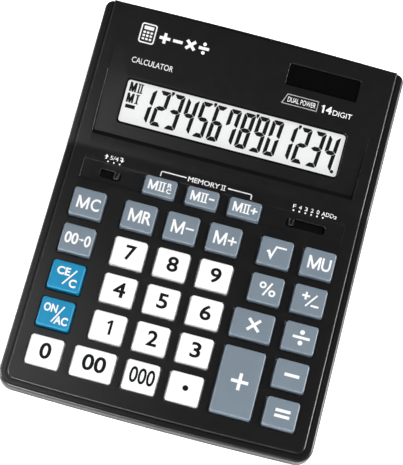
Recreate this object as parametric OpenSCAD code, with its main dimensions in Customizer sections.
// Desk calculator with a tilted display, thirty-two keys and two slide switches.
// Millimetres. X is the width, minus Y is the front edge, plus Z is up, and the feet stand on Z = 0.

/* [Case] */
// Overall width
body_w = 156.8; // [155.6:0.2:162]
// Overall length from the front edge to the rear edge
body_l = 205.2; // [204:0.2:210]
// Height of the key deck above the desk at the front edge
front_h = 13; // [13:0.1:15]
// Slope of the key deck
deck_slope = 3; // [2.6:0.1:4]
// Slope of the display section
display_slope = 11.3; // [10.5:0.1:12.5]
// Plan radius of the two front corners
corner_front = 8; // [6:0.5:9]
// Plan radius of the two rear corners
corner_rear = 4; // [4:0.5:6]
// How far the front edge bulges at its middle
front_bow = 0.9; // [0.5:0.1:1.2]
// How far the rear edge bulges at its middle
rear_bow = 0.9; // [0.5:0.1:1.6]
// Thickness of the case wall
wall = 2; // [1.8:0.1:2.1]
// Width of the lower rim that runs round the deck
rim_w = 3.75; // [3.5:0.05:4]
// Drop from the deck to the rim
rim_drop = 1.15; // [0.9:0.05:1.2]

/* [Keys] */
// Distance between key columns
pitch_x = 21.8; // [21.4:0.05:21.9]
// Distance between key rows
pitch_y = 19.45; // [19.2:0.05:19.5]
// Width of a normal key
key_w = 16.9; // [16:0.05:17]
// Length of a normal key
key_l = 15.1; // [14.4:0.05:15.2]
// Length of the three short keys
short_key_l = 10.2; // [9.6:0.05:10.4]
// Width of the three wide keys
wide_key_w = 21.1; // [20:0.05:21.2]
// Height of a key above the deck
key_rise = 3.2; // [2.6:0.1:3.6]
// How far a key goes down
key_travel = 1.8; // [1.2:0.1:1.8]
// Gap between a key and the edge of its opening
key_gap = 0.35; // [0.3:0.05:0.45]

/* [Display] */
// Width of the visible display
lcd_w = 113.6; // [110:0.2:115]
// Height of the visible display
lcd_l = 21.9; // [20:0.1:22.4]
// Depth of the display recess at its front
recess_depth = 2; // [1.4:0.1:2.2]
// Width of the solar cell opening
solar_w = 37.1; // [34:0.1:38]
// Height of the solar cell opening
solar_l = 11.5; // [10:0.1:12.2]

/* [Switches] */
// Distance between two switch positions
switch_pitch = 3.04; // [2.8:0.02:3.1]
// Position of the left knob, counted from the left
left_position = 3; // [1:1:3]
// Position of the right knob, counted from the left
right_position = 1; // [1:1:6]

/* [Parts] */
// Thickness of the circuit board
board_t = 1.5; // [1.2:0.1:1.6]
// Radius of a rubber foot
foot_r = 5; // [4:0.1:5.4]

/* [Hidden] */
eps = 0.02;
// the base of the case stands this high on the feet
base_z = 1.2;
// height of the joint between the two case halves, measured from the deck
part_w = -6.5;
// the rim is this much wider at the sides, and has a groove next to the deck
side_extra = 0.6;
groove_w = 1.2;
deck_half_w = body_w / 2 - rim_w - side_extra;
// distance from the front edge to the middle of the row with the one key
row_0_y = 40.4;
// middle of the column with the one key
column_0_x = -33;
side_gap = 0.208;
column_left_x = column_0_x - (1 + side_gap) * pitch_x;
column_right_x = column_0_x + (3 + side_gap) * pitch_x;
column_last_x = column_0_x + (4 + side_gap) * pitch_x;
column_short_x = column_0_x + 0.276 * pitch_x;
row_short_y = 116.7;
// distance from the front edge to the fold between deck and display section
fold_y = 128.8;
// place on the display section where the recess runs out
recess_top_s = 41.5;
recess_front_s = 8;
recess_run = 2;
recess_half_w = 68.6;
recess_tilt = atan(recess_depth / (recess_top_s - recess_front_s - recess_run));
strip_y0 = 112.1;
strip_y1 = 122.9;
strip_half_w = 67.8;
strip_depth = 0.3;
switch_y = 117.1;
left_switch_x = -52.7;
right_switch_x = 48.3;
knob_l = 3.6;
knob_w = 3.8;
slot_l = 4.5;
left_slot_w = 2 * switch_pitch + knob_l + 1;
right_slot_w = 5 * switch_pitch + knob_l + 1;
left_knob_x = left_switch_x + (left_position - 2) * switch_pitch;
right_knob_x = right_switch_x + (right_position - 3.5) * switch_pitch;
solar_x = 39;
solar_s = 62.55;
lcd_rear = -2.5;
lcd_y = lcd_rear - lcd_l / 2;
// levels below the deck, measured square to it
flange_top = -wall - 0.05;
flange_t = 1;
// how far each side of a key leans in over its height
key_lean = 0.3;
dome_top = -4.1;
mat_top = -6.4;
mat_t = 1;
board_top = mat_top - mat_t - eps;
board_bottom = board_top - board_t;
board_half_w = 68.4;
board_y0 = 12.6;
board_y1 = 120.6;
boss_r = 2.8;
boss_points = [[-62, -95], [62, -95], [-66.2, 21], [66.2, 21], [-66.2, 90.4], [66.2, 90.4]];
boss_tops = [7, 7, 9.5, 9.5, 13, 13];
post_r = 1.75;
post_points = [
    [column_0_x - 13.2, row_0_y + pitch_y / 2],
    [column_0_x - 13.2, row_0_y + 2.5 * pitch_y],
    [column_0_x + 1.5 * pitch_x, row_0_y + pitch_y / 2],
    [column_0_x + 1.5 * pitch_x, row_0_y + 3.5 * pitch_y - 0.1],
    [column_last_x - pitch_x / 2, row_0_y + 1.5 * pitch_y],
    [column_0_x + 2.5 * pitch_x + 0.1, row_0_y + 1.5 * pitch_y]
];
foot_points = [[-60, -80], [60, -80], [-58, 78], [58, 78]];
cell_x = -36;
cell_y = 63.4;
cell_r = 5.8;
cell_t = 5.4;
door_w = 27;
door_l = 17;

// frames: the deck, the display section and the floor of the recess
module deck_frame() {
    translate([0, -body_l / 2, front_h]) rotate([deck_slope, 0, 0]) children();
}

module display_frame() {
    deck_frame() translate([0, fold_y, 0]) rotate([display_slope - deck_slope, 0, 0]) children();
}

module floor_frame() {
    display_frame() translate([0, recess_top_s, 0]) rotate([recess_tilt, 0, 0]) children();
}

// a flat rectangle with true round corners
module round_rect(w, l, r) {
    union() {
        square([w, l - 2 * r], center = true);
        square([w - 2 * r, l], center = true);
        for (x = [-1, 1]) for (y = [-1, 1]) translate([x * (w / 2 - r), y * (l / 2 - r)])
            circle(r = r, $fn = 32);
    }
}

// points of a shallow bulge from -c to c, b high, above the line y
function bulge(c, y, b) = [for (k = [-4:4]) [c * k / 4, y + b * (1 - k * k / 16)]];

// plan outline of the case, moved in by i, by a further e at the sides, and by k times i at the rear
module outline(i, e = 0, k = 1) {
    w = body_w / 2 - i - e;
    rf = max(corner_front - i, 1);
    rr = max(corner_rear - i, 1);
    cf = w - rf;
    cr = w - rr;
    y0 = -body_l / 2 + i + front_bow;
    y1 = body_l / 2 - k * i - rear_bow;
    union() {
        translate([-w, y0 + rf]) square([2 * w, y1 - rr - y0 - rf]);
        polygon(concat([[cf, 5], [-cf, 5]], bulge(cf, y0, -front_bow)));
        polygon(concat([[cr, -5], [-cr, -5]], bulge(cr, y1, rear_bow)));
        for (x = [-1, 1]) translate([x * cf, y0 + rf]) circle(r = rf, $fn = 48);
        for (x = [-1, 1]) translate([x * cr, y1 - rr]) circle(r = rr, $fn = 48);
    }
}

// everything below a surface that lies h above the deck and the display section
module under_top(h) {
    union() {
        deck_frame() translate([-100, -30, h - 70]) cube([200, 270, 70]);
        display_frame() translate([-100, -90, h - 70]) cube([200, 200, 70]);
    }
}

module above_joint() {
    deck_frame() translate([-100, -30, part_w]) cube([200, 270, 90]);
}

module below_joint() {
    deck_frame() translate([-100, -30, part_w - 90]) cube([200, 270, 90]);
}

module prism(i, e = 0, k = 1) {
    linear_extrude(height = 60) outline(i, e, k);
}

// raised deck: moved in from the rim at the front and the sides, full length at the rear
module deck_plan() {
    union() {
        outline(rim_w, side_extra);
        intersection() {
            outline(0);
            translate([-deck_half_w, 0]) square([2 * deck_half_w, body_l]);
        }
    }
}

fold_z = front_h + fold_y * sin(deck_slope);
fold_base_y = -body_l / 2 + fold_y * cos(deck_slope);

// the rim has a stepped shoulder
module rim_solid() {
    union() {
        intersection() {
            prism(0);
            under_top(-rim_drop - 1.5);
        }
        intersection() {
            prism(0.45, 0, 0.3);
            under_top(-rim_drop - 0.6);
        }
        intersection() {
            prism(1.35, 0, 0.3);
            under_top(-rim_drop);
        }
    }
}

module deck_solid() {
    intersection() {
        linear_extrude(height = 60) deck_plan();
        under_top(0);
    }
}

module case_hollow() {
    union() {
        intersection() {
            prism(wall);
            under_top(-rim_drop - wall - 0.3);
        }
        intersection() {
            prism(rim_w + 0.9, side_extra);
            under_top(-wall);
        }
    }
}

module key_opening(x, y, w, l) {
    deck_frame() translate([x, y, -wall - 2]) linear_extrude(height = wall + 4)
        round_rect(w + 2 * key_gap, l + 2 * key_gap, 1.2);
}

module key_openings() {
    union() {
        for (r = [0:2]) for (c = [0:2]) key_opening(column(c), row(r), key_w, key_l);
        for (c = [0:2]) key_opening(column(c), row(3), key_w, key_l);
        for (r = [-1:3]) key_opening(column_left_x, row(r), key_w, key_l);
        for (c = [1:2]) key_opening(column(c), row(-1), key_w, key_l);
        for (r = [2:3]) key_opening(column_right_x, row(r), key_w, key_l);
        for (r = [-1:3]) key_opening(column_last_x, row(r), key_w, key_l);
        for (c = [0:2]) key_opening(column_short_x + c * pitch_x, row_short_y, key_w, short_key_l);
        key_opening(double_zero_x, row(-1), wide_key_w, key_l);
        key_opening(wide_x, row(1), wide_key_w, key_l);
        key_opening(wide_x, plus_y, wide_key_w, plus_l);
    }
}

function column(c) = column_0_x + c * pitch_x;
function row(r) = row_0_y + r * pitch_y;
wide_x = column_right_x + key_w / 2 - wide_key_w / 2;
double_zero_x = column_0_x + key_w / 2 - wide_key_w / 2;
plus_y = row_0_y - pitch_y / 2;
plus_l = pitch_y + key_l;

// middle of every key, in one list, for the domes of the rubber mat
key_points = concat(
    [for (r = [0:3]) for (c = [0:2]) [column(c), row(r)]],
    [for (r = [-1:3]) [column_left_x, row(r)]],
    [for (c = [1:2]) [column(c), row(-1)]],
    [for (r = [2:3]) [column_right_x, row(r)]],
    [for (r = [-1:3]) [column_last_x, row(r)]],
    [for (c = [0:2]) [column_short_x + c * pitch_x, row_short_y]],
    [[double_zero_x, row(-1)], [wide_x, row(1)], [wide_x, plus_y]]
);

module switch_slot(x, w) {
    deck_frame() translate([x, switch_y, -wall - 2]) linear_extrude(height = wall + 4)
        round_rect(w, slot_l, 1);
}

module upper_case() {
    color("dimgray") difference() {
        union() {
            difference() {
                intersection() {
                    above_joint();
                    union() {
                        rim_solid();
                        deck_solid();
                    }
                }
                case_hollow();
            }
            // backing of the display recess
            intersection() {
                prism(rim_w, side_extra);
                under_top(-1);
                floor_frame() translate([-70.4, -36.4, -1.7]) cube([140.8, 38, 3]);
            }
            intersection() {
                under_top(-1);
                floor_frame() translate([-70.4, -36.4, -3.2]) cube([140.8, 3.6, 4]);
            }
            // bosses for the case screws
            for (n = [0:5]) intersection() {
                under_top(-1);
                translate([boss_points[n][0], boss_points[n][1], boss_tops[n] + 0.1])
                    cylinder(r = boss_r, h = 40, $fn = 32);
            }
            // posts for the board screws
            for (p = post_points) deck_frame() translate([p[0], p[1], board_top + eps])
                cylinder(r = post_r, h = -board_top - 1, $fn = 24);
            // pegs that hold the display holder
            for (x = [-62, 62]) for (y = [-20, -6]) floor_frame() translate([x, y, -7.4])
                cylinder(r = 1.1, h = 6.4, $fn = 24);
        }
        key_openings();
        // shallow strip behind the short keys
        deck_frame() translate([-strip_half_w, strip_y0, -strip_depth])
            cube([2 * strip_half_w, strip_y1 - strip_y0, 3]);
        switch_slot(left_switch_x, left_slot_w);
        switch_slot(right_switch_x, right_slot_w);
        // groove between deck and rim
        difference() {
            intersection() {
                prism(rim_w - groove_w, side_extra);
                under_top(0);
            }
            linear_extrude(height = 60) deck_plan();
            under_top(-rim_drop - 0.5);
        }
        // display recess: flush at the rear, deep at the front
        display_frame() rotate([90, 0, 90]) translate([0, 0, -recess_half_w])
            linear_extrude(height = 2 * recess_half_w)
            polygon([[recess_top_s, 0], [recess_front_s + recess_run, -recess_depth],
                [recess_front_s, 0], [recess_front_s, 2], [recess_top_s, 2]]);
        // display opening
        floor_frame() translate([0, lcd_y, -0.6]) linear_extrude(height = 3)
            round_rect(lcd_w + 1.4, lcd_l + 1.4, 2);
        floor_frame() translate([0, lcd_y, -5]) linear_extrude(height = 6)
            round_rect(lcd_w + 0.2, lcd_l + 0.2, 1.5);
        // solar cell opening
        display_frame() translate([solar_x, solar_s, -5]) linear_extrude(height = 8)
            round_rect(solar_w, solar_l, 0.8);
        // pilot holes
        for (n = [0:5]) translate([boss_points[n][0], boss_points[n][1], boss_tops[n] - 1])
            cylinder(r = 1.3, h = n < 2 ? 5.2 : 7, $fn = 24);
        for (p = post_points) deck_frame() translate([p[0], p[1], board_top - 1])
            cylinder(r = 0.8, h = 5.5, $fn = 24);
    }
}

module tub(i, z) {
    union() {
        translate([0, 0, z + 4]) linear_extrude(height = 50) outline(i);
        translate([0, 0, z + 1.2]) linear_extrude(height = 20) outline(i + 1.2);
        translate([0, 0, z]) linear_extrude(height = 20) outline(i + 3.4);
    }
}

module lower_case() {
    color("dimgray") difference() {
        union() {
            difference() {
                intersection() {
                    below_joint();
                    tub(0, base_z);
                }
                tub(wall, base_z + wall);
            }
            // tongue that locates the upper case
            difference() {
                union() {
                    intersection() {
                        prism(wall + 0.1);
                        deck_frame() translate([-100, -30, part_w - 1]) cube([200, 270, 2.4]);
                    }
                    intersection() {
                        prism(wall - 0.4);
                        deck_frame() translate([-100, -30, part_w - 2.6]) cube([200, 270, 2.6]);
                    }
                }
                prism(wall + 1.1);
            }
            for (n = [0:5]) translate([boss_points[n][0], boss_points[n][1], base_z])
                cylinder(r = 3.7, h = boss_tops[n] - base_z, $fn = 32);
            // battery box
            translate([cell_x - door_w / 2 - 1.5, cell_y - door_l / 2 - 1.5, base_z + 1])
                cube([door_w + 3, door_l + 3, 10]);
        }
        for (n = [0:5]) translate([boss_points[n][0], boss_points[n][1], -1]) {
            cylinder(r = 2.7, h = boss_tops[n] - 1.2, $fn = 32);
            cylinder(r = 1.5, h = 30, $fn = 24);
        }
        for (p = foot_points) translate([p[0], p[1], 0])
            cylinder(r = foot_r + 0.15, h = base_z + 0.4, $fn = 48);
        // opening and ledge of the battery door
        translate([cell_x - door_w / 2, cell_y - door_l / 2, 0]) cube([door_w, door_l, base_z + 1.6]);
        difference() {
            translate([cell_x - door_w / 2 + 1.2, cell_y - door_l / 2 + 1.2, 1])
                cube([door_w - 2.4, door_l - 2.4, 9.6]);
            translate([cell_x + 9.4, cell_y, base_z + 1.6]) cylinder(r = 2.4, h = 20, $fn = 24);
        }
        translate([cell_x + 9.4, cell_y, 1]) cylinder(r = 0.85, h = 6.5, $fn = 24);
        // wire openings in the roof of the battery box
        for (x = [-8.6, 3.6]) translate([cell_x + x, cell_y + 5.5, 8])
            cylinder(r = 0.9, h = 10, $fn = 24);
    }
}

module display_window() {
    color([0.8, 0.85, 0.85, 0.4]) floor_frame() translate([0, lcd_y, 0]) union() {
        translate([0, 0, -2]) linear_extrude(height = 1.4) round_rect(lcd_w, lcd_l, 1.4);
        translate([0, 0, -2.5]) linear_extrude(height = 0.5) round_rect(lcd_w + 4, lcd_l + 1.6, 1);
    }
}

module lcd_panel() {
    color("silver") floor_frame() union() {
        translate([-59.5, -25.6, -3.75]) cube([119, 25.2, 1.2]);
        translate([-59.5, -29.4, -4.95]) cube([119, 29, 1.2]);
    }
}

module lcd_holder() {
    color("white") floor_frame() difference() {
        union() {
            translate([-60.4, -24.4, -6.4]) cube([120.8, 24.2, 1.4]);
            for (x = [-1, 1]) translate([x * 62.2 - 2.3, -24.4, -6.4]) cube([4.6, 24.2, 1.4]);
            for (x = [-1, 1]) translate([x * 60.15 - 0.25, -24.4, -5.1]) cube([0.5, 24.2, 2.6]);
        }
        for (x = [-62, 62]) for (y = [-20, -6]) translate([x, y, -8])
            cylinder(r = 1.3, h = 4, $fn = 24);
        for (x = [-40, 0, 40]) translate([x - 15, -20, -8]) cube([30, 14, 6]);
    }
}

// where a point of the recess floor lies in the deck frame
function floor_to_deck(y, n) =
    let (s = recess_top_s + y * cos(recess_tilt) - n * sin(recess_tilt),
        h = y * sin(recess_tilt) + n * cos(recess_tilt),
         a = display_slope - deck_slope)
    [fold_y + s * cos(a) - h * sin(a), s * sin(a) + h * cos(a)];

ribbon_a = floor_to_deck(-24.8, -5);
ribbon_b = floor_to_deck(-29.2, -5);

module lcd_ribbon() {
    t = 0.16;
    a = ribbon_a;
    b = ribbon_b;
    c = [ribbon_b[0] - 3, ribbon_b[1] - 1.4];
    d = [board_y1 + 1.6, board_bottom + 0.1];
    e = [board_y1 - 0.2, board_bottom - eps];
    f = [board_y1 - 4, board_bottom - eps];
    color("saddlebrown") deck_frame() rotate([90, 0, 90]) translate([0, 0, -34])
        linear_extrude(height = 68)
        polygon([a, b, c, d, e, f, f - [0, t], e - [-0.1, t], d + [0.1, -t], c + [0.1, -t], b + [0, -t],
            a - [0, t]]);
}

module solar_window() {
    color([0.2, 0.1, 0.15, 0.5]) display_frame() translate([solar_x, solar_s, 0]) union() {
        translate([0, 0, -wall - 0.05]) linear_extrude(height = 1.05)
            round_rect(solar_w - 0.2, solar_l - 0.2, 0.7);
        translate([0, 0, -wall - 0.75]) linear_extrude(height = 0.7)
            round_rect(solar_w + 3, solar_l + 3, 1);
    }
}

module solar_cell() {
    color("black") display_frame()
        translate([solar_x - solar_w / 2 - 1, solar_s - solar_l / 2 - 1, -wall - 2])
        cube([solar_w + 2, solar_l + 2, 1.1]);
}

// a run of round wire through a list of points
module wire(points, r) {
    union() {
        for (n = [0:len(points) - 2]) let (a = points[n], b = points[n + 1], d = b - a) {
            translate(a) rotate([0, acos(d[2] / norm(d)), atan2(d[1], d[0])])
                cylinder(r = r, h = norm(d), $fn = 16);
            if (n > 0) translate(a) sphere(r = 1.08 * r, $fn = 16);
        }
    }
}

// where a point of the display section lies in the base frame
function display_to_base(x, s, h) =
    [x, fold_base_y + s * cos(display_slope) - h * sin(display_slope),
        fold_z + s * sin(display_slope) + h * cos(display_slope)];

function deck_to_base(x, y, w) =
    [x, -body_l / 2 + y * cos(deck_slope) - w * sin(deck_slope),
        front_h + y * sin(deck_slope) + w * cos(deck_slope)];

module solar_wires() {
    color("firebrick") for (k = [0, 1])
        let (a = display_to_base(44 + 6 * k, solar_s - 3, -wall - 2.6),
            b = deck_to_base(40 + 4 * k, board_y1 - 3, board_bottom - 0.6))
        wire([a, [a[0], a[1] - 6, a[2] - 7], [b[0], b[1] + 12, b[2] - 1.2], b], 0.5);
}

module circuit_board() {
    color("darkgreen") deck_frame() difference() {
        translate([-board_half_w, board_y0, board_bottom])
            cube([2 * board_half_w, board_y1 - board_y0, board_t]);
        for (p = post_points) translate([p[0], p[1], board_bottom - 1])
            cylinder(r = 1, h = 4, $fn = 24);
        for (x = [-67.5, 67.5]) translate([x - 4.4, board_y1 - 5, board_bottom - 1]) cube([8.8, 6, 4]);
        for (x = [-62, 62]) translate([x - 4.4, board_y0 - 1, board_bottom - 1]) cube([8.8, 1.6, 4]);
    }
}

module key_mat() {
    color("lightgray") deck_frame() difference() {
        union() {
            translate([-67.9, board_y0 + 0.8, mat_top - mat_t])
                cube([135.8, row(3) + 9 - board_y0, mat_t]);
            translate([column_short_x - 11, row(3) + 5, mat_top - mat_t])
                cube([2 * pitch_x + 22, row_short_y - row(3) - 1.2, mat_t]);
            for (p = key_points) translate([p[0], p[1], mat_top - eps])
                cylinder(r1 = 3.8, r2 = 2.7, h = dome_top - mat_top, $fn = 32);
        }
        for (p = key_points) translate([p[0], p[1], mat_top - mat_t - 0.1])
            cylinder(r1 = 3, r2 = 1.9, h = 2.3, $fn = 32);
        for (p = post_points) translate([p[0], p[1], mat_top - mat_t - 1])
            cylinder(r = 2.2, h = 4, $fn = 24);
        for (x = [-62, 62]) translate([x - 4.4, board_y0 - 1, mat_top - mat_t - 1]) cube([8.8, 3, 4]);
    }
}

module chip_cover() {
    color([0.05, 0.05, 0.05]) deck_frame() translate([-10, 96, board_bottom - eps])
        rotate([180, 0, 0]) union() {
            cylinder(r = 7, h = 0.7, $fn = 48);
            translate([0, 0, 0.6]) cylinder(r1 = 6.4, r2 = 4, h = 0.9, $fn = 48);
        }
}

module capacitor() {
    color("royalblue") deck_frame() translate([14, 100, board_bottom - 2.7])
        rotate([0, 90, 0]) union() {
            cylinder(r = 2.5, h = 7, $fn = 32);
            translate([0, 0, -1.6]) cylinder(r = 0.35, h = 1.7, $fn = 16);
        }
}

module small_parts() {
    color("sienna") deck_frame() for (k = [0:5])
        translate([-36 + 4.2 * k + (k > 2 ? 8 : 0), 110, board_bottom - 0.75]) cube([2, 1.25, 0.7]);
}

module battery_cell() {
    color("silver") translate([cell_x - 3.4, cell_y, base_z + 2.4]) union() {
        cylinder(r = cell_r, h = cell_t - 0.5, $fn = 48);
        translate([0, 0, cell_t - 0.5]) cylinder(r = cell_r - 1, h = 0.5, $fn = 48);
    }
}

module contact_minus() {
    color("gainsboro") union() {
        translate([cell_x - 9.4, cell_y - 2, base_z + 7.95]) cube([9, 8.6, 0.3]);
        translate([cell_x - 9.4, cell_y - 2, base_z + 7.95]) cube([9, 0.3, 1.4]);
    }
}

module contact_plus() {
    color("gainsboro") union() {
        translate([cell_x + 2.6, cell_y - 3, base_z + 2]) cube([0.3, 7.8, 7]);
        translate([cell_x + 2.6, cell_y - 3, base_z + 8.7]) cube([2.4, 7.8, 0.3]);
    }
}

module battery_wires() {
    a = [cell_x - 4.6, cell_y + 5.5, base_z + 8.9];
    b = [cell_x + 3.6, cell_y + 5.5, base_z + 9.6];
    c = deck_to_base(-48, board_y1 - 3, board_bottom - 1.2);
    d = deck_to_base(-44, board_y1 - 3, board_bottom - 1.2);
    color("black") union() {
        wire([[a[0] - 4, a[1], a[2]], [a[0] - 4, a[1], a[2] + 4.4], [-50, 40, 13], c], 0.5);
        wire([b, [b[0], b[1], b[2] + 3.2], [-42, 40, 13.4], d], 0.5);
    }
}

module battery_door() {
    color("dimgray") difference() {
        union() {
            translate([cell_x - door_w / 2 + 0.2, cell_y - door_l / 2 + 0.2, base_z])
                cube([door_w - 0.4, door_l - 0.4, 1.4]);
            translate([cell_x - 3.4, cell_y, base_z + 1.3]) cylinder(r = 4.5, h = 1, $fn = 32);
        }
        translate([cell_x + 9.4, cell_y, 0]) cylinder(r = 1.9, h = base_z + 0.7, $fn = 24);
        translate([cell_x + 9.4, cell_y, 0]) cylinder(r = 1, h = 5, $fn = 24);
        // finger ridges
        for (k = [0:3]) translate([cell_x - 12 + 1.6 * k, cell_y - 4, base_z - 1]) cube([0.8, 8, 1.4]);
    }
}

// a screw that points up, its head face at z = 0
module screw(head_r, head_h, shank_r, len) {
    difference() {
        union() {
            cylinder(r = head_r, h = head_h, $fn = 32);
            cylinder(r = shank_r, h = len, $fn = 24);
        }
        translate([-head_r * 0.7, -0.3, -0.1]) cube([head_r * 1.4, 0.6, head_h * 0.5]);
        translate([-0.3, -head_r * 0.7, -0.1]) cube([0.6, head_r * 1.4, head_h * 0.5]);
    }
}

module door_screw() {
    color("gainsboro") translate([cell_x + 9.4, cell_y, base_z + 0.02]) screw(1.7, 0.65, 0.8, 5.4);
}

module case_screws() {
    color("gainsboro") for (n = [0:5])
        translate([boss_points[n][0], boss_points[n][1], boss_tops[n] - 3.85])
            screw(2.4, 1.6, 1.25, n < 2 ? 7.4 : 9);
}

module board_screws() {
    color("gainsboro") for (p = post_points) deck_frame() translate([p[0], p[1], board_bottom - 1.05])
        screw(1.6, 1, 0.75, 5.6);
}

module feet() {
    color("black") for (p = foot_points) translate([p[0], p[1], 0]) union() {
        cylinder(r = foot_r, h = base_z + 0.35, $fn = 48);
    }
}

// front view of a key: straight sides that lean in, two rounded top corners
module key_profile(w, h, lean, r) {
    side = sqrt(h * h + lean * lean);
    cy = h - r;
    cx = w / 2 - lean * cy / h - r * side / h;
    tx = cx + r * h / side;
    ty = cy + r * lean / side;
    union() {
        polygon([[-w / 2, 0], [w / 2, 0], [tx, ty], [cx, h], [-cx, h], [-tx, ty]]);
        translate([cx, cy]) circle(r = r, $fn = 24);
        translate([-cx, cy]) circle(r = r, $fn = 24);
    }
}

module key(x, y, w, l) {
    h = key_rise - flange_top;
    deck_frame() translate([x, y, flange_top]) difference() {
        union() {
            intersection() {
                linear_extrude(height = h + 1) round_rect(w, l, 1);
                rotate([90, 0, 0]) translate([0, 0, -l]) linear_extrude(height = 2 * l)
                    key_profile(w, h, key_lean, 0.6);
                rotate([90, 0, 90]) translate([0, 0, -w]) linear_extrude(height = 2 * w)
                    key_profile(l, h, key_lean, 0.6);
            }
            translate([0, 0, -flange_t]) linear_extrude(height = flange_t)
                round_rect(w + 1.8, l + 1.8, 1.2);
        }
        difference() {
            translate([0, 0, -flange_t - 1]) linear_extrude(height = h - 1.3 + flange_t + 1)
                round_rect(w - 2.8, l - 2.8, 0.6);
            translate([0, 0, dome_top - flange_top + 0.05]) cylinder(r = 2.7, h = 10, $fn = 24);
        }
    }
    deck_frame() translate([x, y, dome_top + 0.05])
        cylinder(r = 2.7, h = key_rise - dome_top - 1, $fn = 24);
}

module key_mii_recall() {
    color("lightslategray") key(column_short_x, row_short_y, key_w, short_key_l);
}

module key_mii_minus() {
    color("lightslategray") key(column_short_x + pitch_x, row_short_y, key_w, short_key_l);
}

module key_mii_plus() {
    color("lightslategray") key(column_short_x + 2 * pitch_x, row_short_y, key_w, short_key_l);
}

module key_mc() {
    color("lightslategray") key(column_left_x, row(3), key_w, key_l);
}

module key_mr() {
    color("lightslategray") key(column(0), row(3), key_w, key_l);
}

module key_m_minus() {
    color("lightslategray") key(column(1), row(3), key_w, key_l);
}

module key_m_plus() {
    color("lightslategray") key(column(2), row(3), key_w, key_l);
}

module key_root() {
    color("lightslategray") key(column_right_x, row(3), key_w, key_l);
}

module key_mark_up() {
    color("lightslategray") key(column_last_x, row(3), key_w, key_l);
}

module key_step_back() {
    color("lightslategray") key(column_left_x, row(2), key_w, key_l);
}

module key_7() {
    color("white") key(column(0), row(2), key_w, key_l);
}

module key_8() {
    color("white") key(column(1), row(2), key_w, key_l);
}

module key_9() {
    color("white") key(column(2), row(2), key_w, key_l);
}

module key_percent() {
    color("lightslategray") key(column_right_x, row(2), key_w, key_l);
}

module key_sign() {
    color("lightslategray") key(column_last_x, row(2), key_w, key_l);
}

module key_clear() {
    color("deepskyblue") key(column_left_x, row(1), key_w, key_l);
}

module key_4() {
    color("white") key(column(0), row(1), key_w, key_l);
}

module key_5() {
    color("white") key(column(1), row(1), key_w, key_l);
}

module key_6() {
    color("white") key(column(2), row(1), key_w, key_l);
}

module key_times() {
    color("lightslategray") key(wide_x, row(1), wide_key_w, key_l);
}

module key_divide() {
    color("lightslategray") key(column_last_x, row(1), key_w, key_l);
}

module key_on() {
    color("deepskyblue") key(column_left_x, row(0), key_w, key_l);
}

module key_1() {
    color("white") key(column(0), row(0), key_w, key_l);
}

module key_2() {
    color("white") key(column(1), row(0), key_w, key_l);
}

module key_3() {
    color("white") key(column(2), row(0), key_w, key_l);
}

module key_plus() {
    color("lightslategray") key(wide_x, plus_y, wide_key_w, plus_l);
}

module key_minus() {
    color("lightslategray") key(column_last_x, row(0), key_w, key_l);
}

module key_0() {
    color("white") key(column_left_x, row(-1), key_w, key_l);
}

module key_00() {
    color("white") key(double_zero_x, row(-1), wide_key_w, key_l);
}

module key_000() {
    color("white") key(column(1), row(-1), key_w, key_l);
}

module key_point() {
    color("white") key(column(2), row(-1), key_w, key_l);
}

module key_equals() {
    color("lightslategray") key(column_last_x, row(-1), key_w, key_l);
}

// slide knob with its cover plate
module knob(x, left, right) {
    deck_frame() translate([x, switch_y, 0]) union() {
        translate([-left, -3, -wall - 1.05]) cube([left + right, 6, 1]);
        intersection() {
            translate([0, 0, -wall - 0.1]) linear_extrude(height = wall + 1)
                round_rect(knob_l, knob_w, 0.5);
            rotate([90, 0, 0]) translate([0, 0, -3]) linear_extrude(height = 6)
                polygon([[-2, -3], [2, -3], [2, 0.2], [1.1, 0.8], [0.5, 0.35], [-0.5, 0.35], [-1.1, 0.8],
                    [-2, 0.2]]);
        }
    }
}

module left_knob() {
    color("black") knob(left_knob_x, 9, 9);
}

module right_knob() {
    color("black") knob(right_knob_x, 13, 16.6);
}

// sprung metal strip under a knob, which comes down to the board
module wiper(x) {
    t = 0.2;
    h = -wall - 1.1 - board_top - 0.08;
    deck_frame() translate([x, switch_y, board_top + 0.05]) rotate([90, 0, 0]) translate([0, 0, -2])
        linear_extrude(height = 4)
        polygon([[0.2, 0], [0.5, 0], [1.5, 0.6], [1.3, 0.75], [0.4, t], [-3.1, h - t], [3.5, h - t],
            [3.5, h], [-3.5, h]]);
}

module left_wiper() {
    color("goldenrod") wiper(left_knob_x);
}

module right_wiper() {
    color("goldenrod") wiper(right_knob_x);
}

upper_case();
lower_case();
display_window();
lcd_panel();
lcd_holder();
lcd_ribbon();
solar_window();
solar_cell();
solar_wires();
circuit_board();
key_mat();
chip_cover();
capacitor();
small_parts();
battery_cell();
contact_minus();
contact_plus();
battery_wires();
battery_door();
door_screw();
case_screws();
board_screws();
feet();
key_mii_recall();
key_mii_minus();
key_mii_plus();
key_mc();
key_mr();
key_m_minus();
key_m_plus();
key_root();
key_mark_up();
key_step_back();
key_7();
key_8();
key_9();
key_percent();
key_sign();
key_clear();
key_4();
key_5();
key_6();
key_times();
key_divide();
key_on();
key_1();
key_2();
key_3();
key_plus();
key_minus();
key_0();
key_00();
key_000();
key_point();
key_equals();
left_knob();
right_knob();
left_wiper();
right_wiper();
